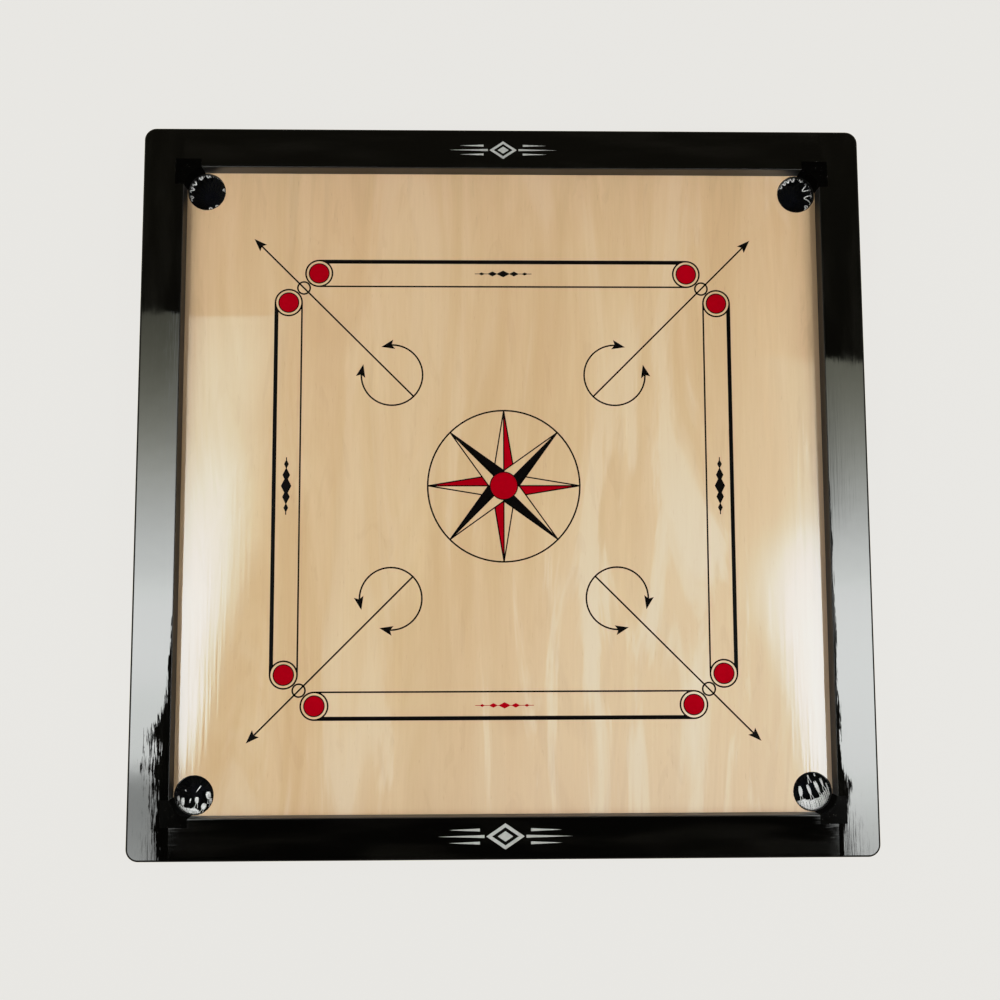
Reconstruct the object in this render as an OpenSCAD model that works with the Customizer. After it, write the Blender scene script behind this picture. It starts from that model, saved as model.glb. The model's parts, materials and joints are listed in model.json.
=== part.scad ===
// Carrom board: a lacquered square frame round a plywood playing panel,
// with a netted pocket in each corner and a batten grid underneath.
// +Z is up out of the playing surface, -Y is the front, and the origin is
// on the surface that the board rests on, under the board's centre.

/* [Board] */
// Side of the square playing area, between the rails' inner faces
play_size = 735; // [720:1:740]
// Thickness of the plywood playing panel
panel_t = 6; // [4:1:8]
// Height of the space under the panel, down to the resting surface
under_h = 20; // [18:1:26]

/* [Rails] */
// Width of a rail, seen from above
rail_w = 46.5; // [44:0.5:60]
// Height of a rail's inner face above the playing surface
wall_h = 20; // [19:0.5:25]
// Radius of the frame's four outer corners
corner_r = 14; // [8:1:20]
// Radius of the rails' outer top edges
outer_edge_r = 2.6; // [1:0.1:4]
// Radius of the rails' inner top edges
inner_edge_r = 1.2; // [0.6:0.1:2]
// Depth of the rebate that holds the panel's edge
rebate_w = 10; // [8:0.5:12]

/* [Corner joints] */
// Length of a front or back rail's stub tenon
tenon_l = 26; // [18:1:30]
// Thickness of a tenon
tenon_t = 14; // [10:1:18]
// Diameter of the pin that locks a tenon
pin_d = 7; // [5:0.5:9]

/* [Pockets] */
// Diameter of a pocket hole in the panel
pocket_d = 42.8; // [42:0.1:44.6]
// Distance from a pocket's centre to each of the two rails beside it
pocket_inset = 22.3; // [22.3:0.1:24]
// Side of the square block that is let into the rails behind each pocket
block_side = 30; // [28:0.5:34]
// How far the hollow face of a corner block stands back from the pocket's hole
block_set_back = 0.2; // [0.1:0.1:1.5]
// Thickness of a pocket net's bag
net_t = 1.2; // [1:0.1:1.6]
// Thickness of the cord round a net's mouth
rim_cord_d = 2.8; // [2:0.1:3]

/* [Underside] */
// Width of a batten
batten_w = 38; // [30:1:45]
// Thickness of a batten
batten_t = 16; // [12:1:18]
// Distance from the board's centre to a batten's middle line
batten_pos = 150; // [120:5:200]
// Width of the bead that holds the panel up
bead_w = 12; // [8:1:14]
// Height of the bead
bead_h = 10; // [8:1:14]

/* [Printed markings] */
// Distance from the board's centre to the row of a base line's circles
base_far = 248.2; // [240:0.1:252]
// Distance along a base line from its middle to its end circles
base_near = 213.5; // [205:0.1:218]
// Outer diameter of a base circle's ring
base_ring_d = 32.6; // [30:0.1:33.4]
// Diameter of the red disc in a base circle
base_disc_d = 21.8; // [18:0.1:23]
// Width of a base line's thick outer stroke
thick_line = 4.6; // [3:0.1:6]
// Width of the other strokes
thin_line = 1.9; // [1:0.1:2.2]
// Width of the line round each red disc
disc_line = 1.2; // [0.6:0.1:1.5]
// Outer diameter of the small circle on each corner diagonal
corner_ring_d = 16.2; // [13:0.1:17]
// Distance from the centre to the corner diagonals' arrow tips, along X and Y
arrow_tip = 289; // [280:1:295]
// Distance from the centre to the curved arrows' centres, along X and Y
curl_pos = 128.5; // [120:0.5:135]
// Radius of the curved arrows
curl_r = 35.3; // [30:0.1:38]
// Diameter of the centre circle
centre_d = 176; // [170:1:180]
// Diameter of the red disc at the centre
hub_d = 30.4; // [28:0.1:32]
// Distance from the centre to the inner corners of the star's rays
star_waist = 17.5; // [16.5:0.1:20]
// Width of the strokes round the star's rays
star_line = 1.5; // [0.8:0.1:1.5]

/* [Hidden] */
$fn = 96;
half = play_size / 2;
outer = half + rail_w;
deck_z = under_h + panel_t;
rail_h = deck_z + wall_h;
rebate_x = half + rebate_w;
ink_t = 0.1;
past = 1;
joint_gap = 0.15;

panel_half = rebate_x - 0.3;
pocket_pos = half - pocket_inset;

tenon_y = half + rebate_w + (rail_w - rebate_w) / 2;
tenon_z = 12;
tenon_h = 24;
pin_x = half + tenon_l / 2;
pin_h = 38;
pin_gap = 0.05;

block_r = pocket_d / 2 + block_set_back;
block_in = rebate_x - block_side;

housing_l = 14;
batten_end = rebate_x + housing_l - 0.3;
batten_z = under_h - batten_t;
lap_z = batten_z + batten_t / 2;
end_screw_pos = rebate_x + housing_l / 2;

bead_short_end = pocket_pos - 34;
bead_batten_gap = 2;
bead_chamfer = 4;
bead_z = under_h - bead_h;

nail_d = 1.8;
nail_head_d = 3.6;
nail_head_t = 0.8;
nail_l = 26;

screw_d = 4;
screw_head_d = 8;
screw_head_h = 3;
screw_gap = 0.1;
end_screw_l = 32;
middle_screw_l = batten_t + 3.5;

net_top = under_h - 0.2;
net_neck_z = under_h - 4.6;
net_mouth_r = pocket_d / 2 + 0.1;
net_belly_r = 30;
net_floor_r = 24;
net_floor_z = 0.6;
net_rings = 8;
rim_cord_r = net_mouth_r + net_t + rim_cord_d / 2 + 1.3;
rim_cord_z = under_h - rim_cord_d / 2 - 0.1;
staple_d = 1;
staple_leg = 4;
staple_half = rim_cord_d / 2 + staple_d / 2 + 0.1;
staple_count = 6;

block_nail_d = 1.4;
block_nail_head_d = 2.8;
block_nail_pos = half + 1.5;
block_nail_l = 20;

ornament_l = 66;
back_badge = [124, 21];
front_badge = [148, 28];
head_l = 15.4;
head_w = 11.2;
head_notch = 12.4;
curl_tip_a = 24;
curl_end_a = 42;
badge_y = half + rail_w / 2 - 2.2;

CORNERS = [["back_left", -1, 1], ["back_right", 1, 1], ["front_left", -1, -1], ["front_right", 1, -1]];
// Each side of the frame, with the turn that carries the front side to it
SIDES = [["front", 0], ["right", 90], ["back", 180], ["left", 270]];

// ---- Rails ----

// What a rounding of radius r takes off a corner at the origin, with the material up and to the right
module round_off_2d(r) {
    difference() {
        translate([-past, -past]) square(r + past);
        translate([r, r]) circle(r);
    }
}

// Section across a rail: x runs inwards from the outer face, y is up
module rail_section_2d(width) {
    difference() {
        square([width, rail_h]);
        translate([0, rail_h]) mirror([0, 1]) round_off_2d(outer_edge_r);
    }
}

// Rounds the inner top edge of the front rail, between the corner blocks
module inner_edge_cut() {
    translate([-block_in, -half, rail_h]) rotate([90, 0, 90]) linear_extrude(2 * block_in)
        mirror([1, 0]) mirror([0, 1]) round_off_2d(inner_edge_r);
}

// Notches that let the two corner blocks at its ends into the front rail
module block_notches() {
    low = block_in - joint_gap;
    for (sx = [0, 1])
        mirror([sx, 0, 0]) translate([low, -rebate_x, deck_z - past])
            cube([rebate_x - low, rebate_w + past, wall_h + 2 * past]);
}

// Housing for the ends of the two battens that meet the front rail
module batten_housings() {
    wide = batten_w + 2 * joint_gap;
    for (sx = [-1, 1])
        translate([sx * batten_pos - wide / 2, -rebate_x - housing_l, -past])
            cube([wide, housing_l + past, under_h + past]);
}

module pin_holes() {
    for (sx = [-1, 1], sy = [-1, 1])
        translate([sx * pin_x, sy * tenon_y, -past])
            cylinder(h = pin_h + past + pin_gap, d = pin_d + 2 * pin_gap);
}

// Front rail, between the two side rails
module cross_rail() {
    difference() {
        union() {
            translate([-half, -outer, 0]) rotate([90, 0, 90])
                linear_extrude(play_size) rail_section_2d(rail_w);
            translate([-half - tenon_l, -tenon_y - tenon_t / 2, tenon_z])
                cube([play_size + 2 * tenon_l, tenon_t, tenon_h]);
        }
        translate([-half - past, -rebate_x, -past])
            cube([play_size + 2 * past, rebate_w + past, deck_z + past]);
        inner_edge_cut();
        block_notches();
        batten_housings();
        pin_holes();
    }
}

// One end of the left rail, past the straight length of its outer face
module rail_end() {
    translate([-outer + corner_r, outer - corner_r, 0]) {
        rotate([0, 0, 90]) rotate_extrude(angle = 90) translate([corner_r, 0]) mirror([1, 0])
            intersection() {
                rail_section_2d(corner_r + past);
                square([corner_r, rail_h]);
            }
        translate([0, corner_r, 0]) rotate([90, 0, 90])
            linear_extrude(rail_w - corner_r) mirror([1, 0]) rail_section_2d(corner_r);
    }
}

// Mortise for the tenon at the left rail's back end
module mortise() {
    deep = tenon_l + 0.5;
    translate([-half - deep, tenon_y - tenon_t / 2 - joint_gap, tenon_z - joint_gap])
        cube([deep + past, tenon_t + 2 * joint_gap, tenon_h + 2 * joint_gap]);
}

// Left rail, which runs the whole depth of the board
module side_rail() {
    straight = outer - corner_r;
    difference() {
        union() {
            translate([-outer, straight, 0]) rotate([90, 0, 0])
                linear_extrude(2 * straight) rail_section_2d(rail_w);
            rail_end();
            mirror([0, 1, 0]) rail_end();
        }
        translate([-rebate_x, -rebate_x, -past])
            cube([rebate_w + past, 2 * rebate_x, deck_z + past]);
        rotate([0, 0, -90]) {
            inner_edge_cut();
            block_notches();
            batten_housings();
        }
        mortise();
        mirror([0, 1, 0]) mortise();
        pin_holes();
    }
}

module left_rail() {
    color("#141413") side_rail();
}

module right_rail() {
    color("#141413") mirror([1, 0, 0]) side_rail();
}

module front_rail() {
    color("#181817") cross_rail();
}

module back_rail() {
    color("#181817") mirror([0, 1, 0]) cross_rail();
}

module tenon_pins() {
    color("#b98d5a")
        for (sx = [-1, 1], sy = [-1, 1])
            translate([sx * pin_x, sy * tenon_y, 0]) cylinder(h = pin_h, d = pin_d);
}

// ---- Playing panel and corner blocks ----

module playing_panel() {
    color("#d2b283")
        difference() {
            translate([-panel_half, -panel_half, under_h])
                cube([2 * panel_half, 2 * panel_half, panel_t]);
            for (c = CORNERS)
                translate([c[1] * pocket_pos, c[2] * pocket_pos, under_h - past])
                    cylinder(h = panel_t + 2 * past, d = pocket_d);
        }
}

// Square block with its inner corner hollowed round the pocket
module block_section_2d() {
    side = block_side - joint_gap;
    difference() {
        translate([block_in, block_in]) square(side);
        translate([pocket_pos, pocket_pos]) {
            circle(block_r);
            translate([-side, -side]) square([side, side + block_r]);
            translate([-side, -side]) square([side + block_r, side]);
        }
    }
}

// Block that fills the frame's corner behind a pocket
module corner_block(sx, sy) {
    color("#0f0f0f") scale([sx, sy, 1])
        translate([0, 0, deck_z]) linear_extrude(wall_h) block_section_2d();
}

module corner_block_nails() {
    color("silver")
        for (c = CORNERS)
            translate([c[1] * block_nail_pos, c[2] * block_nail_pos, under_h - nail_head_t]) {
                cylinder(h = nail_head_t, d = block_nail_head_d);
                cylinder(h = block_nail_l, d = block_nail_d);
            }
}

// ---- Pocket nets ----

// Radius of the bag at an angle from 0, at its neck, to 180, at its floor's edge
function bag_r(a) =
    let (end_r = a < 90 ? net_mouth_r + net_t : net_floor_r)
        end_r + (net_belly_r - end_r) * sin(a);

// Half outline of the bag, as [radius, height], from the mouth down to the floor's edge
function bag_side(inset) = concat(
    [[net_mouth_r + net_t - inset, net_top]],
    [
        for (i = [0 : net_rings])
            let (a = 180 * i / net_rings, bottom = net_floor_z + inset)
                [bag_r(a) - inset, net_neck_z - (net_neck_z - bottom) * (1 - cos(a)) / 2]
    ]
);

function turned(points) = [for (i = [len(points) - 1 : -1 : 0]) points[i]];

// Open bag, slumped on the surface that the board rests on
module pocket_net(sx, sy) {
    outside = bag_side(0);
    inside = bag_side(net_t);
    color("#1c2230") translate([sx * pocket_pos, sy * pocket_pos, 0])
        rotate_extrude() polygon(concat(
            outside,
            [[0, net_floor_z], [0, net_floor_z + net_t]],
            turned(inside)
        ));
}

module net_rim_cord(sx, sy) {
    color("#e8e6de") translate([sx * pocket_pos, sy * pocket_pos, rim_cord_z])
        rotate_extrude() translate([rim_cord_r, 0]) circle(d = rim_cord_d);
}

// Wire staple over the rim cord, with its legs in the panel
module staple() {
    crown_z = rim_cord_z - rim_cord_d / 2 - staple_d / 2 - 0.05;
    leg_h = under_h + staple_leg - crown_z + staple_d / 2;
    for (s = [-1, 1])
        translate([rim_cord_r + s * staple_half, 0, crown_z - staple_d / 2])
            cylinder(h = leg_h, d = staple_d);
    translate([rim_cord_r - staple_half, -staple_d / 2, crown_z - staple_d / 2])
        cube([2 * staple_half, staple_d, staple_d]);
}

module net_staples() {
    color("silver")
        for (c = CORNERS, i = [0 : staple_count - 1])
            translate([c[1] * pocket_pos, c[2] * pocket_pos, 0])
                rotate([0, 0, atan2(c[2], c[1]) + (i + 0.5) * 360 / staple_count]) staple();
}

// ---- Battens and beads under the panel ----

// Screw with a countersunk head, point up, standing on z = 0; grow widens it into its hole
module screw(length, grow) {
    rotate_extrude() polygon([
        [0, 0],
        [screw_head_d / 2 + grow, 0],
        [screw_d / 2 + grow, screw_head_h],
        [screw_d / 2 + grow, length],
        [0, length]
    ]);
}

// Batten along Y: side is -1 for the left one and 1 for the right one, and over_lap
// is true where the battens that cross it pass above it
module batten(side, over_lap) {
    cut = lap_z - batten_z + past;
    difference() {
        translate([side * batten_pos - batten_w / 2, -batten_end, batten_z])
            cube([batten_w, 2 * batten_end, batten_t]);
        for (sy = [-1, 1])
            translate([
                side * batten_pos - batten_w / 2 - past,
                sy * batten_pos - batten_w / 2 - joint_gap,
                over_lap ? lap_z : batten_z - past
            ])
                cube([batten_w + 2 * past, batten_w + 2 * joint_gap, cut]);
        for (sy = [-1, 1], y = [batten_pos, end_screw_pos])
            translate([side * batten_pos, sy * y, batten_z - 0.01])
                screw(batten_t + past, screw_gap);
    }
}

module batten_left() {
    color("#c8a878") batten(-1, true);
}

module batten_right() {
    color("#c8a878") batten(1, true);
}

module batten_front() {
    color("#bf9d6d") rotate([0, 0, 90]) batten(-1, false);
}

module batten_back() {
    color("#bf9d6d") rotate([0, 0, 90]) batten(1, false);
}

module batten_screws() {
    color("#c9b458") {
        for (turn = [0, 90], sx = [-1, 1], sy = [-1, 1])
            rotate([0, 0, turn]) translate([sx * batten_pos, sy * end_screw_pos, batten_z])
                screw(end_screw_l, 0);
        for (sx = [-1, 1], sy = [-1, 1])
            translate([sx * batten_pos, sy * batten_pos, batten_z]) screw(middle_screw_l, 0);
    }
}

// Ends of a side's three beads, along X on the front side
bead_inner_end = batten_pos - batten_w / 2 - bead_batten_gap;
bead_outer_end = batten_pos + batten_w / 2 + bead_batten_gap;
BEAD_SPANS = [
    [-bead_short_end, -bead_outer_end],
    [-bead_inner_end, bead_inner_end],
    [bead_outer_end, bead_short_end]
];

// One bead: number 0, 1 or 2 from the left of the side, seen from that side
module bead(turn, number) {
    span = BEAD_SPANS[number];
    color("#cfae7c") rotate([0, 0, turn])
        translate([span[0], -rebate_x, bead_z]) rotate([90, 0, 90])
            linear_extrude(span[1] - span[0]) polygon([
                [0, 0],
                [bead_w - bead_chamfer, 0],
                [bead_w, bead_chamfer],
                [bead_w, bead_h],
                [0, bead_h]
            ]);
}

module bead_nails() {
    inset = 14;
    long_rows = [-bead_inner_end + inset, 0, bead_inner_end - inset];
    short_rows = [bead_outer_end + inset, bead_short_end - inset];
    color("silver")
        for (side = SIDES, x = concat(long_rows, short_rows, -short_rows))
            rotate([0, 0, side[1]])
                translate([x, -rebate_x + bead_w + nail_head_t, bead_z + bead_h * 0.65])
                    rotate([90, 0, 0]) {
                        cylinder(h = nail_head_t, d = nail_head_d);
                        cylinder(h = nail_l, d = nail_d);
                    }
}

// ---- Printed markings ----

module ring_2d(r, w) {
    difference() {
        circle(r + w / 2);
        circle(r - w / 2);
    }
}

// Straight stroke from a to b
module stroke_2d(a, b, w) {
    n = [a[1] - b[1], b[0] - a[0]] / norm(b - a) * w / 2;
    polygon([a + n, b + n, b - n, a - n]);
}

// Arrowhead with its tip at a point, pointing along an angle
module head_2d(tip, angle) {
    translate(tip) rotate(angle)
        polygon([[0, 0], [-head_l, head_w / 2], [-head_notch, 0], [-head_l, -head_w / 2]]);
}

function polar(r, a) = [r * cos(a), r * sin(a)];

// Base line on the front side, with its two circles' rings
module base_line_2d() {
    ring_r = (base_ring_d - thin_line) / 2;
    thick_y = base_far + base_ring_d / 2 - thick_line / 2;
    thin_y = base_far - ring_r;
    difference() {
        union() {
            stroke_2d([-base_near, -thick_y], [base_near, -thick_y], thick_line);
            stroke_2d([-base_near, -thin_y], [base_near, -thin_y], thin_line);
        }
        for (sx = [-1, 1]) translate([sx * base_near, -base_far]) circle(ring_r);
    }
    for (sx = [-1, 1])
        translate([sx * base_near, -base_far]) {
            ring_2d(ring_r, thin_line);
            ring_2d((base_disc_d + disc_line) / 2, disc_line);
        }
}

// Open circle with an arrowhead at each end, its gap facing +X
module curl_2d() {
    wedge = 3 * curl_r;
    difference() {
        ring_2d(curl_r, thin_line);
        polygon([[0, 0], polar(wedge, -curl_end_a), polar(wedge, curl_end_a)]);
    }
    turn = (180 - curl_end_a - curl_tip_a) / 2;
    head_2d(polar(curl_r, curl_tip_a), -turn);
    head_2d(polar(curl_r, -curl_tip_a), turn);
}

// Arrow from the curl out through the small circle, drawn along +X
module corner_arrow_2d() {
    curl_x = curl_pos * sqrt(2);
    tip_x = arrow_tip * sqrt(2);
    stroke_2d([curl_x - curl_r, 0], [tip_x - head_notch, 0], thin_line);
    head_2d([tip_x, 0], 0);
    translate([curl_x, 0]) curl_2d();
    translate([(base_far + base_near) / 2 * sqrt(2), 0])
        ring_2d((corner_ring_d - thin_line) / 2, thin_line);
}

star_tip = (centre_d - thin_line) / 2;

// A star ray's whole outline, pointing along +X
module ray_2d() {
    polygon([[0, 0], polar(star_waist, -45), [star_tip, 0], polar(star_waist, 45)]);
}

// The half of a ray that is filled with ink
module ray_half_2d() {
    polygon([[0, 0], polar(star_waist, -45), [star_tip, 0]]);
}

module ray_strokes_2d() {
    tip = [star_tip, 0];
    stroke_2d([0, 0], tip, star_line);
    for (a = [-45, 45]) {
        stroke_2d(polar(star_waist, a), tip, star_line);
        translate(polar(star_waist, a)) circle(star_line * 0.8);
    }
}

module rays_2d(first) {
    for (i = [0 : 3]) rotate(first + 90 * i) children();
}

// Strokes of the four straight rays, which pass behind the four diagonal ones
module straight_strokes_2d() {
    difference() {
        rays_2d(0) ray_strokes_2d();
        rays_2d(45) ray_2d();
    }
}

module star_black_2d() {
    difference() {
        union() {
            straight_strokes_2d();
            rays_2d(45) {
                ray_half_2d();
                ray_strokes_2d();
            }
        }
        circle(d = hub_d);
    }
    ring_2d((hub_d + disc_line) / 2, disc_line);
    ring_2d((centre_d - thin_line) / 2, thin_line);
}

module star_red_2d() {
    difference() {
        rays_2d(0) ray_half_2d();
        star_black_2d();
        rays_2d(45) ray_2d();
        circle(d = hub_d + disc_line);
    }
    circle(d = hub_d);
}

// Row of lozenges joined by a thin line, centred on the origin
module lozenge_row_2d(length, height) {
    stroke_2d([-length / 2, 0], [length / 2, 0], height * 0.1);
    for (i = [-2 : 2]) {
        size = height * (1 - 0.27 * abs(i));
        translate([i * length * 0.19, 0])
            polygon([[-size, 0], [0, size / 2], [size, 0], [0, -size / 2]]);
    }
}

module on_deck() {
    translate([0, 0, deck_z]) linear_extrude(ink_t) children();
}

module black_print() {
    color("#17120f") on_deck() {
        for (side = SIDES) rotate(side[1]) base_line_2d();
        for (i = [0 : 3]) rotate(45 + 90 * i) corner_arrow_2d();
        star_black_2d();
        translate([0, base_far]) lozenge_row_2d(ornament_l, 8);
        for (sx = [-1, 1])
            translate([sx * base_far, 0]) rotate(90) lozenge_row_2d(ornament_l, 12);
    }
}

module red_print() {
    color("#a80f22") on_deck() {
        for (side = SIDES, sx = [-1, 1]) rotate(side[1])
            translate([sx * base_near, -base_far]) circle(d = base_disc_d);
        star_red_2d();
        translate([0, -base_far]) lozenge_row_2d(ornament_l, 7);
    }
}

// Ornament on a rail's top: a lozenge in an outline, with tapering bars on both sides
module badge_2d(size) {
    length = size[0];
    height = size[1];
    lozenge = height * 0.75;
    difference() {
        polygon([[-lozenge, 0], [0, height / 2], [lozenge, 0], [0, -height / 2]]);
        polygon([[-lozenge * 0.7, 0], [0, height * 0.35], [lozenge * 0.7, 0], [0, -height * 0.35]]);
    }
    polygon([
        [-lozenge * 0.4, 0],
        [0, height * 0.2],
        [lozenge * 0.4, 0],
        [0, -height * 0.2]
    ]);
    for (sx = [-1, 1], i = [-1 : 1])
        scale([sx, 1]) polygon([
            [lozenge + 2 + 5 * abs(i), i * height * 0.25 - height * 0.055],
            [length / 2 - 12 * abs(i), i * height * 0.25],
            [lozenge + 2 + 5 * abs(i), i * height * 0.25 + height * 0.055]
        ]);
}

module silver_print() {
    color("#c9cbc8") translate([0, 0, rail_h]) linear_extrude(ink_t) {
        translate([0, badge_y + 0.9]) badge_2d(back_badge);
        translate([0, -badge_y]) badge_2d(front_badge);
    }
}

left_rail();
right_rail();
front_rail();
back_rail();
tenon_pins();
playing_panel();
corner_block(-1, 1);  // corner_block_back_left
corner_block(1, 1);  // corner_block_back_right
corner_block(-1, -1);  // corner_block_front_left
corner_block(1, -1);  // corner_block_front_right
corner_block_nails();
pocket_net(-1, 1);  // pocket_net_back_left
pocket_net(1, 1);  // pocket_net_back_right
pocket_net(-1, -1);  // pocket_net_front_left
pocket_net(1, -1);  // pocket_net_front_right
net_rim_cord(-1, 1);  // net_rim_cord_back_left
net_rim_cord(1, 1);  // net_rim_cord_back_right
net_rim_cord(-1, -1);  // net_rim_cord_front_left
net_rim_cord(1, -1);  // net_rim_cord_front_right
net_staples();
batten_left();
batten_right();
batten_front();
batten_back();
batten_screws();
bead(0, 0);  // bead_front_left
bead(0, 1);  // bead_front_middle
bead(0, 2);  // bead_front_right
bead(90, 0);  // bead_right_front
bead(90, 1);  // bead_right_middle
bead(90, 2);  // bead_right_back
bead(180, 0);  // bead_back_right
bead(180, 1);  // bead_back_middle
bead(180, 2);  // bead_back_left
bead(270, 0);  // bead_left_back
bead(270, 1);  // bead_left_middle
bead(270, 2);  // bead_left_front
bead_nails();
black_print();
red_print();
silver_print();
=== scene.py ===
import json
import math
import random

import bpy
import numpy as np
from mathutils import Euler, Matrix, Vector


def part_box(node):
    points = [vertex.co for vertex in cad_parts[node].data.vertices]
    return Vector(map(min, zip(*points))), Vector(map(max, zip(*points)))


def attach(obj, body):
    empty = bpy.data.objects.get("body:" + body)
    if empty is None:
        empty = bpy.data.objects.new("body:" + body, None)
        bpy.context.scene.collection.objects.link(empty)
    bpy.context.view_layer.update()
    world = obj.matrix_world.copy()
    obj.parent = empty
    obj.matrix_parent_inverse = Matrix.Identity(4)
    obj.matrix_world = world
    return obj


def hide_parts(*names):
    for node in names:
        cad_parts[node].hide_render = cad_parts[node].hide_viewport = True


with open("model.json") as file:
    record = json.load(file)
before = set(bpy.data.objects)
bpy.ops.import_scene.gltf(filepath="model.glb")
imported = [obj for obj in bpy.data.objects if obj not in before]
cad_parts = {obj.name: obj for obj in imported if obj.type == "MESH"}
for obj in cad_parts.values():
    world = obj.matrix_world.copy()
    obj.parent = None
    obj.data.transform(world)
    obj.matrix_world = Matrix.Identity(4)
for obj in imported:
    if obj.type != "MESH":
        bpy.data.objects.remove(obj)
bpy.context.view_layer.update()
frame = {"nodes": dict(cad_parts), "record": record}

# ---- Places, in metres in the board's frame ----

MM = 0.001
FLOOR_Z = 0.0
# How far out from the centre the frame's inner walls stand
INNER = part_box("right_rail")[0].x
POCKETS = ("back_left", "back_right", "front_left", "front_right")


def pocket_centre(corner):
    """Middle of a pocket's hole, in X and Y."""
    low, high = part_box("net_rim_cord_" + corner)
    middle = (low + high) / 2
    return np.array([middle.x, middle.y])


POCKET_OUT = pocket_centre("back_right")[0]
POCKET_R = 0.0214
# A corner block's inner and outer sides, where its joints with the rails begin and run
SEAM_FROM, SEAM_OUT = [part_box("corner_block_back_right")[index].x for index in (0, 1)]

# ---- Colours, as linear light ----

LACQUER_BLACK = (0.0012, 0.0011, 0.0009, 1)
UNDERCOAT = (0.016, 0.014, 0.012, 1)
CHIPPED = (0.10, 0.097, 0.088, 1)
BIRCH_DEEP = (0.600, 0.408, 0.228, 1)
BIRCH_PALE = (0.700, 0.488, 0.298, 1)
BIRCH_PINK = (0.680, 0.442, 0.262, 1)
# The paler birch colour painted on towards the right front corner, standing in for the stronger light there
BIRCH_PAINTED_LIGHT = (0.785, 0.590, 0.425, 1)
BIRCH_WHITE = (0.820, 0.640, 0.480, 1)
PINE_LIGHT = (0.56, 0.37, 0.19, 1)
PINE_DARK = (0.40, 0.23, 0.10, 1)
DOWEL_LIGHT = (0.45, 0.28, 0.14, 1)
DOWEL_DARK = (0.30, 0.17, 0.08, 1)
BRASS = (0.75, 0.60, 0.28, 1)
STEEL = (0.55, 0.55, 0.54, 1)
INK_BLACK = (0.003, 0.0025, 0.0025, 1)
INK_RED = (0.33, 0.0, 0.006, 1)
INK_SILVER = (0.40, 0.405, 0.39, 1)
# Each yarn's colour, and a darker copy of it painted between its fibres as the shade in their hollows
YARN_DARK = (0.0030, 0.0040, 0.0090, 1)
YARN_DARK_HOLLOW_SHADE = (0.0010, 0.0012, 0.0025, 1)
YARN_WHITE = (0.94, 0.94, 0.95, 1)
YARN_WHITE_HOLLOW_SHADE = (0.76, 0.76, 0.76, 1)
FLOOR_PALE = (1.025, 0.991, 0.904, 1)
OVERHEAD_DARK = (0.002, 0.002, 0.002, 1)
OVERHEAD_BACK = (0.080, 0.073, 0.050, 1)
LIGHT_TINT = (0.965, 1.0, 0.975, 1)
LIGHT_TINT_BACK = (0.97, 0.98, 0.76, 1)


def shaded(colour, factor):
    """The colour, lighter or darker."""
    return tuple(channel * factor for channel in colour[:3]) + (1,)


# ---- Node trees ----

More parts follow.
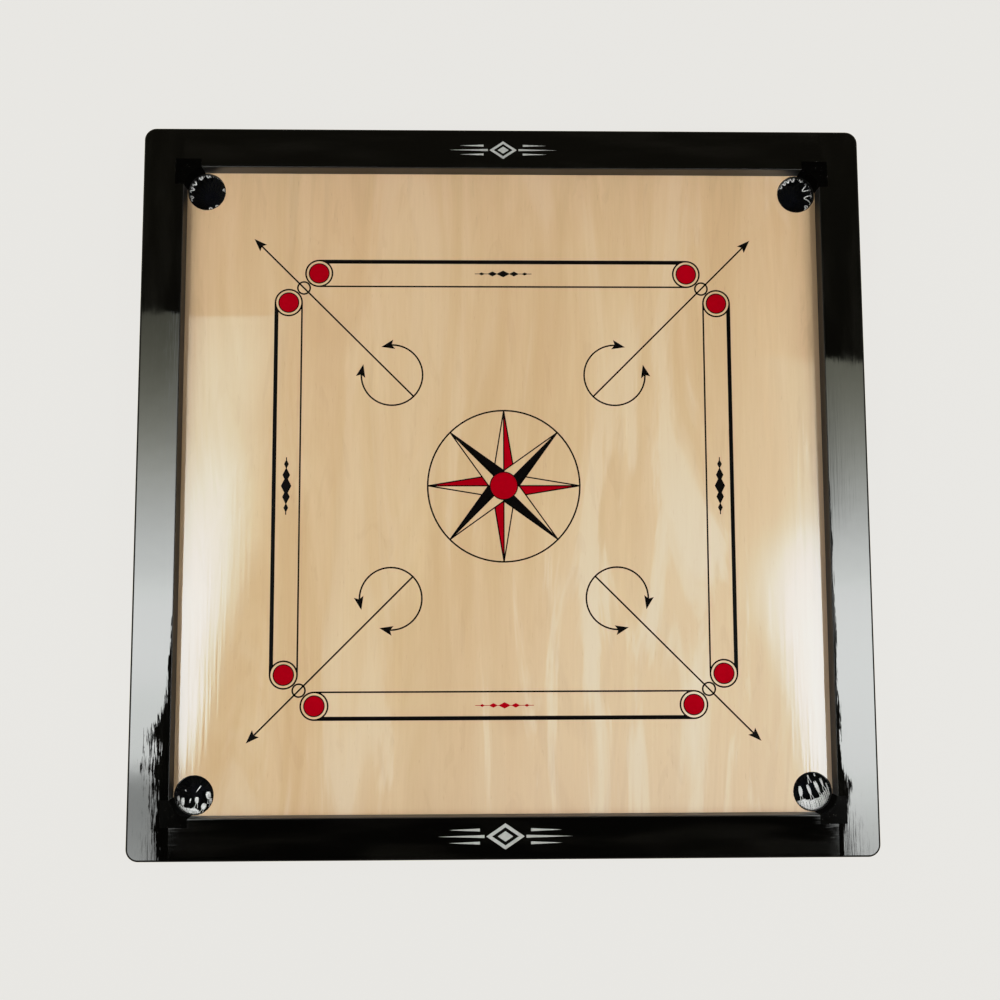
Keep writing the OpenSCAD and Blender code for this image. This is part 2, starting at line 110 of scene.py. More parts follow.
class Nodes:
    """A node tree under construction: each call adds a node and returns its output."""

    def __init__(self, owner):
        owner.use_nodes = True
        self.tree = owner.node_tree
        self.tree.nodes.clear()

    def node(self, kind, **settings):
        """A new node itself, with its settings."""
        made = self.tree.nodes.new("ShaderNode" + kind)
        for name, value in settings.items():
            setattr(made, name, value)
        return made

    def feed(self, socket, value):
        """Sets a socket, or links it if the value is another node's output."""
        if isinstance(value, bpy.types.NodeSocket):
            self.tree.links.new(value, socket)
        else:
            socket.default_value = value

    def place(self):
        """The point on the board, in metres."""
        return self.node("TexCoord").outputs["Object"]

    def math(self, operation, first, second=0.0, third=0.0):
        made = self.node("Math", operation=operation)
        for socket, value in zip(made.inputs, (first, second, third)):
            self.feed(socket, value)
        return made.outputs[0]

    def parts(self, vector):
        """A vector's X, Y and Z."""
        made = self.node("SeparateXYZ")
        self.feed(made.inputs[0], vector)
        return made.outputs

    def normal_up(self):
        """1 on a face that looks up, -1 on one that looks down."""
        return self.parts(self.node("NewGeometry").outputs["Normal"])[2]

    def noise(self, per_metre, detail=2.0, rough=0.5, distortion=0.0):
        """Noise from 0 to 1, with so many cells per metre along each axis."""
        stretched = self.node("VectorMath", operation="MULTIPLY")
        self.feed(stretched.inputs[0], self.place())
        self.feed(stretched.inputs[1], per_metre)
        made = self.node("TexNoise")
        for name, value in (("Vector", stretched.outputs[0]), ("Scale", 1.0), ("Detail", detail),
                            ("Roughness", rough), ("Distortion", distortion)):
            self.feed(made.inputs[name], value)
        return made.outputs[0]

    def ramp(self, value, low, high, to_low=0.0, to_high=1.0):
        """Turns low to high into to_low to to_high, smoothly, and holds the ends."""
        made = self.node("MapRange", clamp=True, interpolation_type="SMOOTHSTEP")
        for socket, number in zip(made.inputs, (value, low, high, to_low, to_high)):
            self.feed(socket, number)
        return made.outputs[0]

    def curve(self, value, points):
        """A smooth curve through (position, height) points."""
        start, end = points[0][0], points[-1][0]
        top = max(abs(height) for _, height in points)
        along = self.node("MapRange", clamp=True)
        for socket, number in zip(along.inputs, (value, start, end, 0.0, 1.0)):
            self.feed(socket, number)
        made = self.node("FloatCurve")
        line = made.mapping.curves[0]
        line.points[0].location = (0.0, points[0][1] / top)
        line.points[1].location = (1.0, points[-1][1] / top)
        for position, height in points[1:-1]:
            line.points.new((position - start) / (end - start), height / top)
        made.mapping.update()
        self.feed(made.inputs["Value"], along.outputs[0])
        return self.math("MULTIPLY", made.outputs[0], top)

    def mix(self, factor, first, second):
        """A colour between two others."""
        made = self.node("Mix", data_type="RGBA")
        for index, value in ((0, factor), (6, first), (7, second)):
            self.feed(made.inputs[index], value)
        return made.outputs[2]

    def scale(self, colour, factor):
        """A colour times a brightness."""
        made = self.node("VectorMath", operation="SCALE")
        self.feed(made.inputs[0], colour[:3] if isinstance(colour, tuple) else colour)
        self.feed(made.inputs["Scale"], factor)
        return made.outputs[0]

    def furthest(self):
        """How far out from the board's centre a point is, along X or Y, whichever is more."""
        x, y, _ = self.parts(self.place())
        return self.math("MAXIMUM", self.math("ABSOLUTE", x), self.math("ABSOLUTE", y))

    def from_pocket(self):
        """How far a point is from the middle of its own corner's pocket."""
        offset = self.node("VectorMath", operation="ABSOLUTE")
        self.feed(offset.inputs[0], self.place())
        x, y, _ = self.parts(offset.outputs[0])
        dx = self.math("SUBTRACT", x, POCKET_OUT)
        dy = self.math("SUBTRACT", y, POCKET_OUT)
        squares = self.math("ADD", self.math("MULTIPLY", dx, dx), self.math("MULTIPLY", dy, dy))
        return self.math("SQRT", squares)

    def bump(self, height, depth, under=None, strength=1.0):
        """A normal bent by a height times a depth in metres, on top of another bend."""
        made = self.node("Bump")
        if under is not None:
            self.feed(made.inputs["Normal"], under)
        self.feed(made.inputs["Height"], height)
        self.feed(made.inputs["Distance"], depth)
        self.feed(made.inputs["Strength"], strength)
        return made.outputs[0]

    def dulled(self, roughness, *spots):
        """A roughness that is raised to at least a value wherever a mask is 1, for each (mask, value)."""
        for mask, value in spots:
            roughness = self.math("MAXIMUM", roughness, self.math("MULTIPLY", mask, value))
        return roughness


class Finish(Nodes):
    """A piece's material, with one Principled shader."""

    def __init__(self, name, **constants):
        self.material = bpy.data.materials.new(name)
        super().__init__(self.material)
        self.shader = self.node("BsdfPrincipled")
        out = self.node("OutputMaterial")
        self.feed(out.inputs["Surface"], self.shader.outputs[0])
        for socket, value in constants.items():
            self.shader.inputs[socket.replace("_", " ")].default_value = value

    def finished(self, colour, roughness, normal):
        self.feed(self.shader.inputs["Base Color"], colour)
        self.feed(self.shader.inputs["Roughness"], roughness)
        self.feed(self.shader.inputs["Normal"], normal)
        return self.material


def cells(along, length, width):
    """Noise cells of a length along one axis and a width across it, as cells per metre."""
    return tuple(1 / length if axis == along else 1 / width for axis in range(3))


def even(per_metre):
    """Noise cells that are as long as they are wide, as cells per metre."""
    return (per_metre,) * 3


def grain(across, along):
    """Noise cells per metre across the plywood's grain and along it; the grain runs along Y."""
    return (across, along, across)


# ---- Black lacquer ----

RAIL_IOR = 1.5
# The corner blocks' lacquer is thin and reflects little
BLOCK_IOR = 1.045
# Length and width of a brush stroke, of one bristle's line in it, and of a patch of uneven gloss
STROKE = (0.11, 0.0022)
BRISTLE = (0.03, 0.0008)
GLOSS_PATCH = (0.12, 0.02)
# Heights of a bristle's line and of the slow waves, as shares of a stroke's, and the stroke's in metres
BRISTLE_SHARE = 0.3
WAVE_SHARE = 1.2
STROKE_DEPTH = 0.000035
BLOCK_DEPTH = 0.00004
UNDERSIDE_DULL = 0.7
CHIP_DULL = 0.6
HOLLOW_DULL = 0.6
# Roughness of the inner wall and of its top edge, on the back and front rails and on the side rails
WALL_DULL = (0.1, 0.5)
WALL_EDGE_DULL = (0.45, 0.25)
# How far into the rail the wall's finish takes to fade
WALL_FADE = 0.0005
# Half the width of the chipped line at a joint, and how far it takes to begin
SEAM_HALF = 0.0005
SEAM_START = 0.001
# Width of the worn strip along a side rail's inner edge, as (y, width), and how steeply it falls
RUBBED_LEFT = [(-0.42, 0.014), (-0.385, 0.016), (-0.36, 0.024), (-0.33, 0.028), (-0.285, 0.029),
               (-0.262, 0.016), (-0.235, 0.0075), (-0.205, 0.005), (-0.15, 0.0015), (-0.12, 0.0)]
RUBBED_RIGHT = [(-0.42, 0.005), (-0.385, 0.006), (-0.37, 0.013), (-0.345, 0.013), (-0.31, 0.008),
                (-0.28, 0.0060), (-0.23, 0.005), (-0.05, 0.003), (0.0, 0.0015), (0.02, 0.0)]
RUBBED_SLOPE = 0.06
# A strip narrower than this isn't worn at all
RUBBED_LEAST = 0.0004
# Length and width of the worn strip's splinters
SPLINTER = (0.022, 0.0013)


def seam(f, place):
    """1 along the chipped joint between a corner block and the rails, at a distance out from the centre."""
    x, y, _ = f.parts(f.place())
    across = f.math("ABSOLUTE", f.math("SUBTRACT", f.furthest(), place))
    nearest = f.math("MINIMUM", f.math("ABSOLUTE", x), f.math("ABSOLUTE", y))
    beside = f.ramp(nearest, SEAM_FROM - SEAM_START, SEAM_FROM)
    broken = f.ramp(f.noise(even(90), 4.0, 0.7), 0.54, 0.66)
    line = f.ramp(across, SEAM_HALF, SEAM_HALF / 5)
    return f.math("MULTIPLY", f.math("MULTIPLY", line, beside), broken)


def rubbed_down(f):
    """The normal of a side rail's top: it falls along the strip that players' wrists have rubbed down."""
    x, y, _ = f.parts(f.place())
    left = f.curve(y, RUBBED_LEFT)
    right = f.curve(y, RUBBED_RIGHT)
    on_right = f.math("GREATER_THAN", x, 0.0)
    width = f.math("ADD", left, f.math("MULTIPLY", on_right, f.math("SUBTRACT", right, left)))
    ragged = f.ramp(f.noise(cells(1, *SPLINTER), 4.0, 0.65), 0.3, 0.7, 0.45, 1.35)
    uneven = f.ramp(f.noise((45, 25, 45)), 0.3, 0.7, -0.25, 0.25)
    reach = f.math("MULTIPLY", width, f.math("ADD", ragged, uneven))
    from_wall = f.math("SUBTRACT", f.math("ABSOLUTE", x), INNER)
    worn = f.ramp(f.math("DIVIDE", from_wall, reach), 1.0, 0.8)
    worn = f.math("MULTIPLY", worn, f.math("GREATER_THAN", width, RUBBED_LEAST))
    return f.bump(from_wall, RUBBED_SLOPE, strength=worn)


def near_wall(f, depth):
    """1 on the inner wall and 0 on whatever lies deeper in the rail than that."""
    return f.ramp(f.furthest(), INNER + depth, INNER + depth - WALL_FADE)


def black_lacquer(name, along):
    """A rail's black lacquer, brushed along the rail; the side rails are worn at their inner edges."""
    f = Finish(name, IOR=RAIL_IOR)
    up = f.normal_up()
    strokes = f.noise(cells(along, *STROKE), 3.0, 0.6)
    height = f.math("MULTIPLY_ADD", f.noise(cells(along, *BRISTLE)), BRISTLE_SHARE, strokes)
    height = f.math("MULTIPLY_ADD", f.noise(even(50), 1.0), WAVE_SHARE, height)
    patches = f.noise(cells(along, *GLOSS_PATCH), 4.0)
    below = f.ramp(up, -0.2, -0.6)
    chips = seam(f, SEAM_OUT)
    wall = f.math("MULTIPLY", f.ramp(up, 0.8, 0.5), near_wall(f, 0.0015))
    wall_edge = f.math("MULTIPLY", f.ramp(up, 0.995, 0.97), near_wall(f, 0.002))
    roughness = f.dulled(f.ramp(patches, 0.35, 0.7, 0.02, 0.06), (below, UNDERSIDE_DULL), (chips, CHIP_DULL),
                         (wall, WALL_DULL[along]), (wall_edge, WALL_EDGE_DULL[along]))
    top = f.mix(f.ramp(patches, 0.42, 0.8), LACQUER_BLACK, shaded(LACQUER_BLACK, 4.0))
    colour = f.mix(chips, f.mix(below, top, UNDERCOAT), CHIPPED)
    rubbed = rubbed_down(f) if along == 1 else None
    return f.finished(colour, roughness, f.bump(height, STROKE_DEPTH, rubbed))


def block_lacquer(name):
    """The corner blocks' thinner lacquer, dull in the hollow round the pocket."""
    f = Finish(name, IOR=BLOCK_IOR)
    mottle = f.noise(even(120), 4.0, 0.65)
    scuffs = f.ramp(f.noise(even(420), 3.0, 0.7), 0.66, 0.74)
    hollow = f.ramp(f.normal_up(), 0.8, 0.5)
    colour = f.mix(f.math("MULTIPLY", scuffs, 0.6), LACQUER_BLACK, CHIPPED)
    roughness = f.dulled(f.ramp(mottle, 0.3, 0.7, 0.05, 0.2), (hollow, HOLLOW_DULL))
    return f.finished(colour, roughness, f.bump(mottle, BLOCK_DEPTH))


# ---- Plywood ----

VARNISH_IOR = 1.52
# How much darker or lighter each small mark makes the face
RING_SHADE = -0.05
PORE_SHADE = -0.10
ISLAND_SHADE = -0.045
STREAK_SHADE = 0.035
# Painted shade beside the left and right walls, standing in for the shadow they cast on the face: how wide it
# is, and how dark
PAINTED_SHADE_WIDTH = 0.018
PAINTED_SHADE_DEPTH = 0.22
UNVARNISHED_SHADE = 0.72
UNVARNISHED_DULL = 0.6
HOLE_DULL = 0.35
# The black paint in a pocket hole laps over its edge by about this much, and is this ragged
PAINT_LAP = 0.0011
PAINT_RAGGED = 0.0008
WAVES_TO_FIBRES = 2.0
FIBRE_DEPTH = 0.000018


def birch_colour(f, hue, figure):
    """Birch veneer's broad colours: its figure, pink mottle and white flames, and painted light that pales it
    towards the right front corner.
    """
    x, y, _ = f.parts(f.place())
    # Painted light: the face grows paler towards its right front corner, where more light falls, mixed with
    # the random hue; the white flames show more there too
    towards = f.math("MULTIPLY_ADD", hue, 0.5, f.math("SUBTRACT", x, y))
    mottle = f.ramp(f.noise(grain(38, 5), 3.0, 0.6, 0.8), 0.35, 0.65, 0.0, 0.18)
    flames = f.ramp(f.noise(grain(16, 2.2), 4.0, 0.55, 1.3), 0.52, 0.64)
    flames = f.math("MULTIPLY", flames, f.ramp(towards, 0.0, 0.7, 0.10, 0.80))
    colour = f.mix(f.ramp(figure, 0.32, 0.68), BIRCH_DEEP, BIRCH_PALE)
    colour = f.mix(f.ramp(towards, 0.2, 1.0, 0, 0.95), colour, BIRCH_PAINTED_LIGHT)
    colour = f.mix(f.ramp(hue, 0.42, 0.7, 0, 0.32), colour, BIRCH_PINK)
    colour = f.mix(mottle, colour, BIRCH_PINK)
    return f.mix(flames, colour, BIRCH_WHITE)


def birch_shade(f, fibres):
    """The veneer's brightness: its growth rings, pores, dark islands and pale streaks, with painted shade
    beside the left and right walls.
    """
    rings = f.math("SINE", f.math("MULTIPLY", f.noise(grain(5.2, 0.6), 1.5, 0.45, 0.2), 130.0))
    ring_patch = f.ramp(f.noise(grain(4, 1.6)), 0.45, 0.7)
    lines = f.math("MULTIPLY", f.ramp(rings, 0.2, 1.0), ring_patch)
    pores = f.ramp(f.noise(grain(900, 75), 1.0), 0.71, 0.78)
    islands = f.ramp(f.noise(grain(34, 7), 3.0, 0.55, 1.4), 0.60, 0.67)
    streaks = f.ramp(f.noise(grain(60, 3.5), 3.0, 0.6), 0.58, 0.70)
    light = f.ramp(fibres, 0.25, 0.75, 0.98, 1.02)
    shades = ((lines, RING_SHADE), (pores, PORE_SHADE), (islands, ISLAND_SHADE), (streaks, STREAK_SHADE))
    for mask, shade in shades:
        light = f.math("MULTIPLY_ADD", mask, shade, light)
    x, _, _ = f.parts(f.place())
    # Painted shade: the face darkens towards the left and right walls, as if in their shadow
    painted_wall_shade = f.ramp(f.math("ABSOLUTE", x), INNER - PAINTED_SHADE_WIDTH, INNER, 0.0, PAINTED_SHADE_DEPTH)
    return f.math("SUBTRACT", light, painted_wall_shade)


def plywood(name):
    """Birch plywood: varnished face above, bare face below, black paint in the pocket holes."""
    f = Finish(name, IOR=VARNISH_IOR)
    up = f.normal_up()
    hue = f.noise(grain(5.0, 1.6))
    figure = f.noise(grain(17, 2.0), 4.0, 0.6, 0.9)
    fibres = f.noise(grain(420, 16), 3.0, 0.6)
    face = f.scale(birch_colour(f, hue, figure), birch_shade(f, fibres))
    below = f.ramp(up, -0.5, -0.8)
    face = f.mix(below, face, f.scale(face, UNVARNISHED_SHADE))
    hole = f.ramp(f.math("ABSOLUTE", up), 0.8, 0.4)
    lap = f.math("MULTIPLY_ADD", f.noise(even(700)), PAINT_RAGGED, f.from_pocket())
    painted = f.math("MAXIMUM", hole, f.ramp(lap, POCKET_R + PAINT_LAP, POCKET_R + PAINT_LAP - 0.0003))
    face = f.mix(painted, face, shaded(LACQUER_BLACK, 3.0))
    varnish = f.ramp(figure, 0.3, 0.7, 0.02, 0.04)
    roughness = f.dulled(varnish, (below, UNVARNISHED_DULL), (hole, HOLE_DULL))
    height = f.math("MULTIPLY_ADD", f.noise(grain(300, 9)), WAVES_TO_FIBRES, fibres)
    return f.finished(face, roughness, f.bump(height, FIBRE_DEPTH))


# ---- Other materials ----

INK_IOR = 1.1
YARN_IOR = 1.3
INK_DEPTH = 0.000008
SAWN_DEPTH = 0.00012
SCRATCH_DEPTH = 0.00002
YARN_DEPTH = 0.0002
# Length and width of softwood's growth rings, and of its fibres
SOFTWOOD_RING = (0.5, 0.045)
SOFTWOOD_FIBRE = (0.03, 0.0009)
SAW_SHARE = 0.4


def ink(name, colour, roughness, uneven):
    """Printed ink: a little uneven in density, as smooth as what it is printed on."""
    f = Finish(name, IOR=INK_IOR)
    mottle = f.noise(even(260), 3.0, 0.6)
    drift = f.noise(even(20), 1.0)
    density = f.math("MULTIPLY_ADD", drift, 0.5, f.math("MULTIPLY", mottle, 0.5))
    face = f.scale(colour, f.ramp(density, 0.3, 0.7, 1 - uneven, 1 + uneven))
    gloss = f.ramp(mottle, 0.3, 0.7, roughness * 0.85, roughness * 1.15)
    return f.finished(face, gloss, f.bump(mottle, INK_DEPTH))


def bare_wood(name, along, light, dark):
    """Sawn softwood with grain along an axis."""
    f = Finish(name)
    contour = f.noise(cells(along, *SOFTWOOD_RING), 2.0, 0.5, 0.6)
    rings = f.math("SINE", f.math("MULTIPLY", contour, 90.0))
    fibres = f.noise(cells(along, *SOFTWOOD_FIBRE), 3.0, 0.65)
    colour = f.mix(f.ramp(rings, -0.6, 1.0, 0.05, 0.75), light, dark)
    face = f.scale(colour, f.ramp(fibres, 0.25, 0.75, 0.85, 1.1))
    height = f.math("MULTIPLY_ADD", f.noise(even(350)), SAW_SHARE, fibres)
    roughness = f.ramp(fibres, 0.2, 0.8, 0.55, 0.75)
    return f.finished(face, roughness, f.bump(height, SAWN_DEPTH))


def metal(name, colour, roughness):
    """Drawn or plated metal with fine scratches and a few dull stains."""
    f = Finish(name, Metallic=1.0)
    scratches = f.noise((900, 260, 600), 3.0, 0.7)
    stain = f.noise(even(90), 3.0)
    face = f.scale(colour, f.ramp(stain, 0.3, 0.8, 1.05, 0.6))
    gloss = f.ramp(scratches, 0.3, 0.7, roughness * 0.8, roughness * 1.4)
    return f.finished(face, gloss, f.bump(scratches, SCRATCH_DEPTH))


def yarn(name, colour, hollow_shade):
    """Twisted yarn: fuzzy, with painted shade in the hollows between its fibres."""
    f = Finish(name, IOR=YARN_IOR)
    fibres = f.noise(even(2600), 3.0, 0.65)
    soil = f.noise(even(160), 3.0)
    # Painted shade: the darker copy of the yarn's colour lies between its fibres
    face = f.mix(f.ramp(fibres, 0.3, 0.65), hollow_shade, colour)
    face = f.scale(face, f.ramp(soil, 0.3, 0.75, 1.0, 0.82))
    return f.finished(face, f.ramp(fibres, 0.3, 0.7, 0.95, 0.75), f.bump(fibres, YARN_DEPTH))


def paint(names, material):
    """Gives CAD nodes one material."""
    for name in names:
        for slot in frame["nodes"][name].material_slots:
            slot.material = material


def nodes_of(slot_name):
    """The CAD nodes that the record gives a material slot."""
    return [part["node"] for part in frame["record"]["subparts"] if part["material_slot"] == slot_name]


def runs_along(name):
    """0 for a node that is longer in X, 1 for one that is longer in Y."""
    low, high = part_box(name)
    size = high - low
    return 0 if size.x >= size.y else 1


def dress_cad():
    """Gives every CAD node that stays visible its material."""
    rails = [name for name in nodes_of("black_lacquer") if name.endswith("_rail")]
    for along, axis in enumerate("xy"):
        lacquered = [name for name in rails if runs_along(name) == along]
        paint(lacquered, black_lacquer("black_lacquer_" + axis, along))
        sawn = [name for name in nodes_of("bare_wood") if runs_along(name) == along]
        paint(sawn, bare_wood("bare_wood_" + axis, along, PINE_LIGHT, PINE_DARK))
    paint(["corner_block_" + corner for corner in POCKETS], block_lacquer("black_lacquer_blocks"))
    paint(nodes_of("lacquered_plywood"), plywood("lacquered_plywood"))
    paint(nodes_of("dowel_wood"), bare_wood("dowel_wood", 2, DOWEL_LIGHT, DOWEL_DARK))
    paint(nodes_of("screw_brass"), metal("screw_brass", BRASS, roughness=0.3))
    paint(nodes_of("steel_wire"), metal("steel_wire", STEEL, roughness=0.35))
    paint(nodes_of("black_ink"), ink("black_ink", INK_BLACK, roughness=0.2, uneven=0.25))
    paint(nodes_of("red_ink"), ink("red_ink", INK_RED, roughness=0.12, uneven=0.1))
    paint(nodes_of("silver_ink"), ink("silver_ink", INK_SILVER, roughness=0.35, uneven=0.12))


# ---- Yarn ----

# A direction that no yarn runs along, to turn the yarns' cross-sections from
ASKEW = (0.31, 0.17, 0.93)
# A ply's radius, as a share of its yarn's
PLY_SHARE = 0.54


def cross_section(run):
    """Two directions square to a path at each of its points, from the path's own unnormalised direction."""
    run = run / np.linalg.norm(run, axis=1)[:, None]
    side = np.cross(run, ASKEW)
    side /= np.linalg.norm(side, axis=1)[:, None]
    return side, np.cross(run, side)


class Strands:
    """Twisted yarns, gathered into one mesh."""

    def __init__(self):
        self.points, self.faces = [], []

    def tube(self, path, radius, sides=6, closed=False):
        """One round strand along a path, closed into a ring or capped at its ends."""
        path = np.asarray(path, float)
        count = len(path)
        if closed:
            ahead, behind = np.roll(path, -1, 0), np.roll(path, 1, 0)
        else:
            ahead, behind = np.vstack([path[1:], path[-1]]), np.vstack([path[0], path[:-1]])
        side, over = cross_section(ahead - behind)
        base = sum(len(block) for block in self.points)
        turn = np.arange(sides) * 2 * math.pi / sides
        ring = np.cos(turn)[None, :, None] * side[:, None] + np.sin(turn)[None, :, None] * over[:, None]
        radii = np.broadcast_to(radius, count)[:, None, None]
        self.points.append((path[:, None] + radii * ring).reshape(-1, 3))
        for row in range(count if closed else count - 1):
            here, there = base + row * sides, base + (row + 1) % count * sides
            for step in range(sides):
                following = (step + 1) % sides
                self.faces.append((here + step, here + following, there + following, there + step))
        if not closed:
            self.faces.append(tuple(base + step for step in reversed(range(sides))))
            self.faces.append(tuple(base + (count - 1) * sides + step for step in range(sides)))

    def twisted(self, path, radius, pitch, plies=2, sides=6, closed=False, start=0.0):
        """Plies wound round each other along a path; radius is the whole yarn's."""
        path = np.asarray(path, float)
        loop = np.vstack([path, path[:1]]) if closed else path
        steps = np.linalg.norm(np.diff(loop, axis=0), axis=1)
        travelled = np.concatenate([[0.0], np.cumsum(steps)])
        turns = travelled / pitch
        if closed:
            turns = travelled * round(travelled[-1] / pitch) / travelled[-1]
        side, over = cross_section(np.gradient(path, axis=0))
        thin = radius * PLY_SHARE
        for ply in range(plies):
            angle = 2 * math.pi * (turns[:len(path)] + ply / plies) + start
            offset = np.cos(angle)[:, None] * side + np.sin(angle)[:, None] * over
            self.tube(path + np.reshape(radius - thin, (-1, 1)) * offset, thin, sides, closed)

    def object(self, name, material):
        """The strands so far, as one smooth-shaded object."""
        mesh = bpy.data.meshes.new(name)
        mesh.from_pydata(np.vstack(self.points).tolist(), [], self.faces)
        mesh.polygons.foreach_set("use_smooth", [True] * len(mesh.polygons))
        mesh.materials.append(material)
        made = bpy.data.objects.new(name, mesh)
        bpy.context.scene.collection.objects.link(made)
        return made


def spline(points, count):
    """A smooth path of count points through a few given ones."""
    points = np.asarray(points, float)
    padded = np.vstack([2 * points[0] - points[1], points, 2 * points[-1] - points[-2]])
    path = []
    for place in np.linspace(0, len(points) - 1, count):
        index = min(int(place), len(points) - 2)
        t = place - index
        a, b, c, d = padded[index:index + 4]
        path.append(0.5 * (2 * b + (c - a) * t + (2 * a - 5 * b + 4 * c - d) * t ** 2
                           + (3 * b - 3 * c + d - a) * t ** 3))
    return np.array(path)


# ---- Net bags and rim ropes ----

NET_COLUMNS = 26
NET_STRAND = 0.62 * MM
NET_PITCH = 3.2 * MM
# How far a knot strays, how far a strand sags between two, and below what height it lies on the bag's floor
NET_STRAY = 0.8 * MM
NET_SAG = 0.25 * MM
NET_FLOOR = 3 * MM
# A knot is a ring of this radius, in yarn of this radius
KNOT_RING = 0.55 * MM
KNOT_YARN = 0.5 * MM
# Height and radius down the bag, in millimetres, from its neck to its gathered floor
NET_PROFILE = [(19.0, 21.9), (15.2, 22.1), (11.5, 26.4), (7.5, 29.0), (3.8, 28.2), (1.8, 24.0), (1.3, 18.0),
               (1.2, 12.0), (1.3, 6.5), (1.6, 2.4)]
ROPE_PITCH = 8 * MM


def on_bag(centre, angle, z, radius):
    """The point at a height, an angle and a distance round a pocket's middle."""
    return np.array([centre[0] + radius * math.cos(angle), centre[1] + radius * math.sin(angle), z])


def bag_knots(centre, chance):
    """Rows of knots round the bag, each row half a mesh on from the last."""
    rows = []
    for row, (z, radius) in enumerate(NET_PROFILE):
        loose = 0.0 if row == 0 else NET_STRAY
        knots = []
        for column in range(NET_COLUMNS):
            angle = 2 * math.pi * (column + 0.5 * (row % 2)) / NET_COLUMNS + chance.uniform(-0.03, 0.03)
            drop = chance.uniform(-loose, loose) if z > 5 else chance.uniform(0, 0.4 * MM)
            knots.append(on_bag(centre, angle, z * MM + drop, radius * MM + chance.uniform(-loose, 0)))
        rows.append(knots)
    return rows


def net_meshes(strands, rows, chance):
    """The strands of the diamond meshes, from each knot to the two below it."""
    for row in range(len(rows) - 1):
        for column in range(NET_COLUMNS):
            other = (column + (1 if row % 2 else -1)) % NET_COLUMNS
            for target in (column, other):
                start, end = rows[row][column], rows[row + 1][target]
                slack = (start + end) / 2
                slack[2] -= NET_SAG if slack[2] > NET_FLOOR else 0.0
                path = spline([start, slack, end], 7)
                strands.twisted(path, NET_STRAND, NET_PITCH, sides=5, start=chance.uniform(0, 6))


def net_knot(strands, knot, tilt):
    """A knot, as a small tilted ring of yarn."""
    across = np.array([math.cos(tilt), math.sin(tilt), 0.6])
    across /= np.linalg.norm(across)
    side = np.cross(across, (0, 0, 1.0))
    side /= np.linalg.norm(side)
    over = np.cross(across, side)
    turn = np.linspace(0, 2 * math.pi, 9)[:-1]
    ring = [knot + KNOT_RING * (math.cos(a) * side + math.sin(a) * over) for a in turn]
    strands.tube(ring, KNOT_YARN, 5, closed=True)


def net_bag(corner, chance, material):
    """A knotted diamond mesh bag of dark two-ply yarn, gathered at its floor."""
    strands = Strands()
    rows = bag_knots(pocket_centre(corner), chance)
    net_meshes(strands, rows, chance)
    for knots in rows:
        for knot in knots:
            net_knot(strands, knot, chance.uniform(0, math.pi))
    bag = strands.object("net_bag_" + corner, material)
    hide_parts("pocket_net_" + corner)
    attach(bag, "root")


def rim_rope(corner, material):
    """The three-ply rope round a net's mouth, stapled under the panel."""
    low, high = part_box("net_rim_cord_" + corner)
    middle = (low + high) / 2
    thick = (high.z - low.z) / 2
    radius = (high.x - low.x) / 2 - thick
    turn = np.linspace(0, 2 * math.pi, 141)[:-1]
    path = [(middle.x + radius * math.cos(a), middle.y + radius * math.sin(a), middle.z) for a in turn]
    strands = Strands()
    strands.twisted(path, thick, ROPE_PITCH, plies=3, sides=8, closed=True)
    rope = strands.object("net_rim_rope_" + corner, material)
    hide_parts("net_rim_cord_" + corner)
    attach(rope, "root")


# ---- White yarns at the nets' mouths ----

# The lashing round the neck: height and radius at its inner end, its lowest point and its outer end, in
# millimetres, how far round it leans from one to the next, and its radius and pitch
LASHING = [(17.4, 21.6), (16.4, 24.6), (17.6, 27.2)]
LASHING_LEAN = 0.06
LASHING_YARN = 0.45 * MM
LASHING_PITCH = 2.4 * MM
# The loops stand on a ring of this radius, from the neck to their tops
LOOP_R = 20.4 * MM
LOOP_Z = 24.4 * MM
NECK_Z = 18.2 * MM
LOOP_PITCH = 2.6 * MM
LOOP_LEAN = 0.2 * MM
# White loops in the back pockets: degrees from the way to the corner, then width, reach and thickness in
# millimetres
LOOPS = {
    "back_left": [(-47, 3.6, 2.6, 0.75), (-21, 3.8, 3.4, 0.85), (9, 4.4, 4.2, 0.9), (33, 4.6, 4.6, 0.9),
                  (64, 3.8, 3.4, 0.7), (-126, 2.4, 2.0, 0.6), (148, 3.0, 1.8, 0.6), (170, 2.4, 1.6, 0.5)],
    "back_right": [(106, 3.2, 2.6, 0.7), (88, 3.8, 3.6, 0.8), (72, 3.8, 3.6, 0.8), (54, 4.4, 4.0, 0.8),
                   (22, 3.6, 3.0, 0.6), (-12, 8.2, 9.5, 0.75), (-60, 8.2, 9.0, 0.75), (-95, 3.4, 3.2, 0.6)],
}
# A front pocket's slack white heading: the way it leans, in degrees, and its inner edge, as (millimetres to
# the side, millimetres out from the pocket's centre)
HEADINGS = {
    "front_left": (-103, [(-13, 15.5), (-8, 16.5), (-1, 15.5), (3, 13), (7, 15.5), (10, 17)]),
    "front_right": (-80, [(-18, 8.5), (-10, 8), (-2, 10.2), (6, 9), (12, 6), (17, 0.5), (19, -6)]),
}
HEADING_SPACING = 1.75 * MM
HEADING_Z = 22.4 * MM
HEADING_YARN = 1.05 * MM
HEADING_PITCH = 4.5 * MM
# The heading ends at least this far inside the hole's rim, and falls by this share of its length
HEADING_LEAST = 1.5 * MM
HEADING_FALL = 0.22
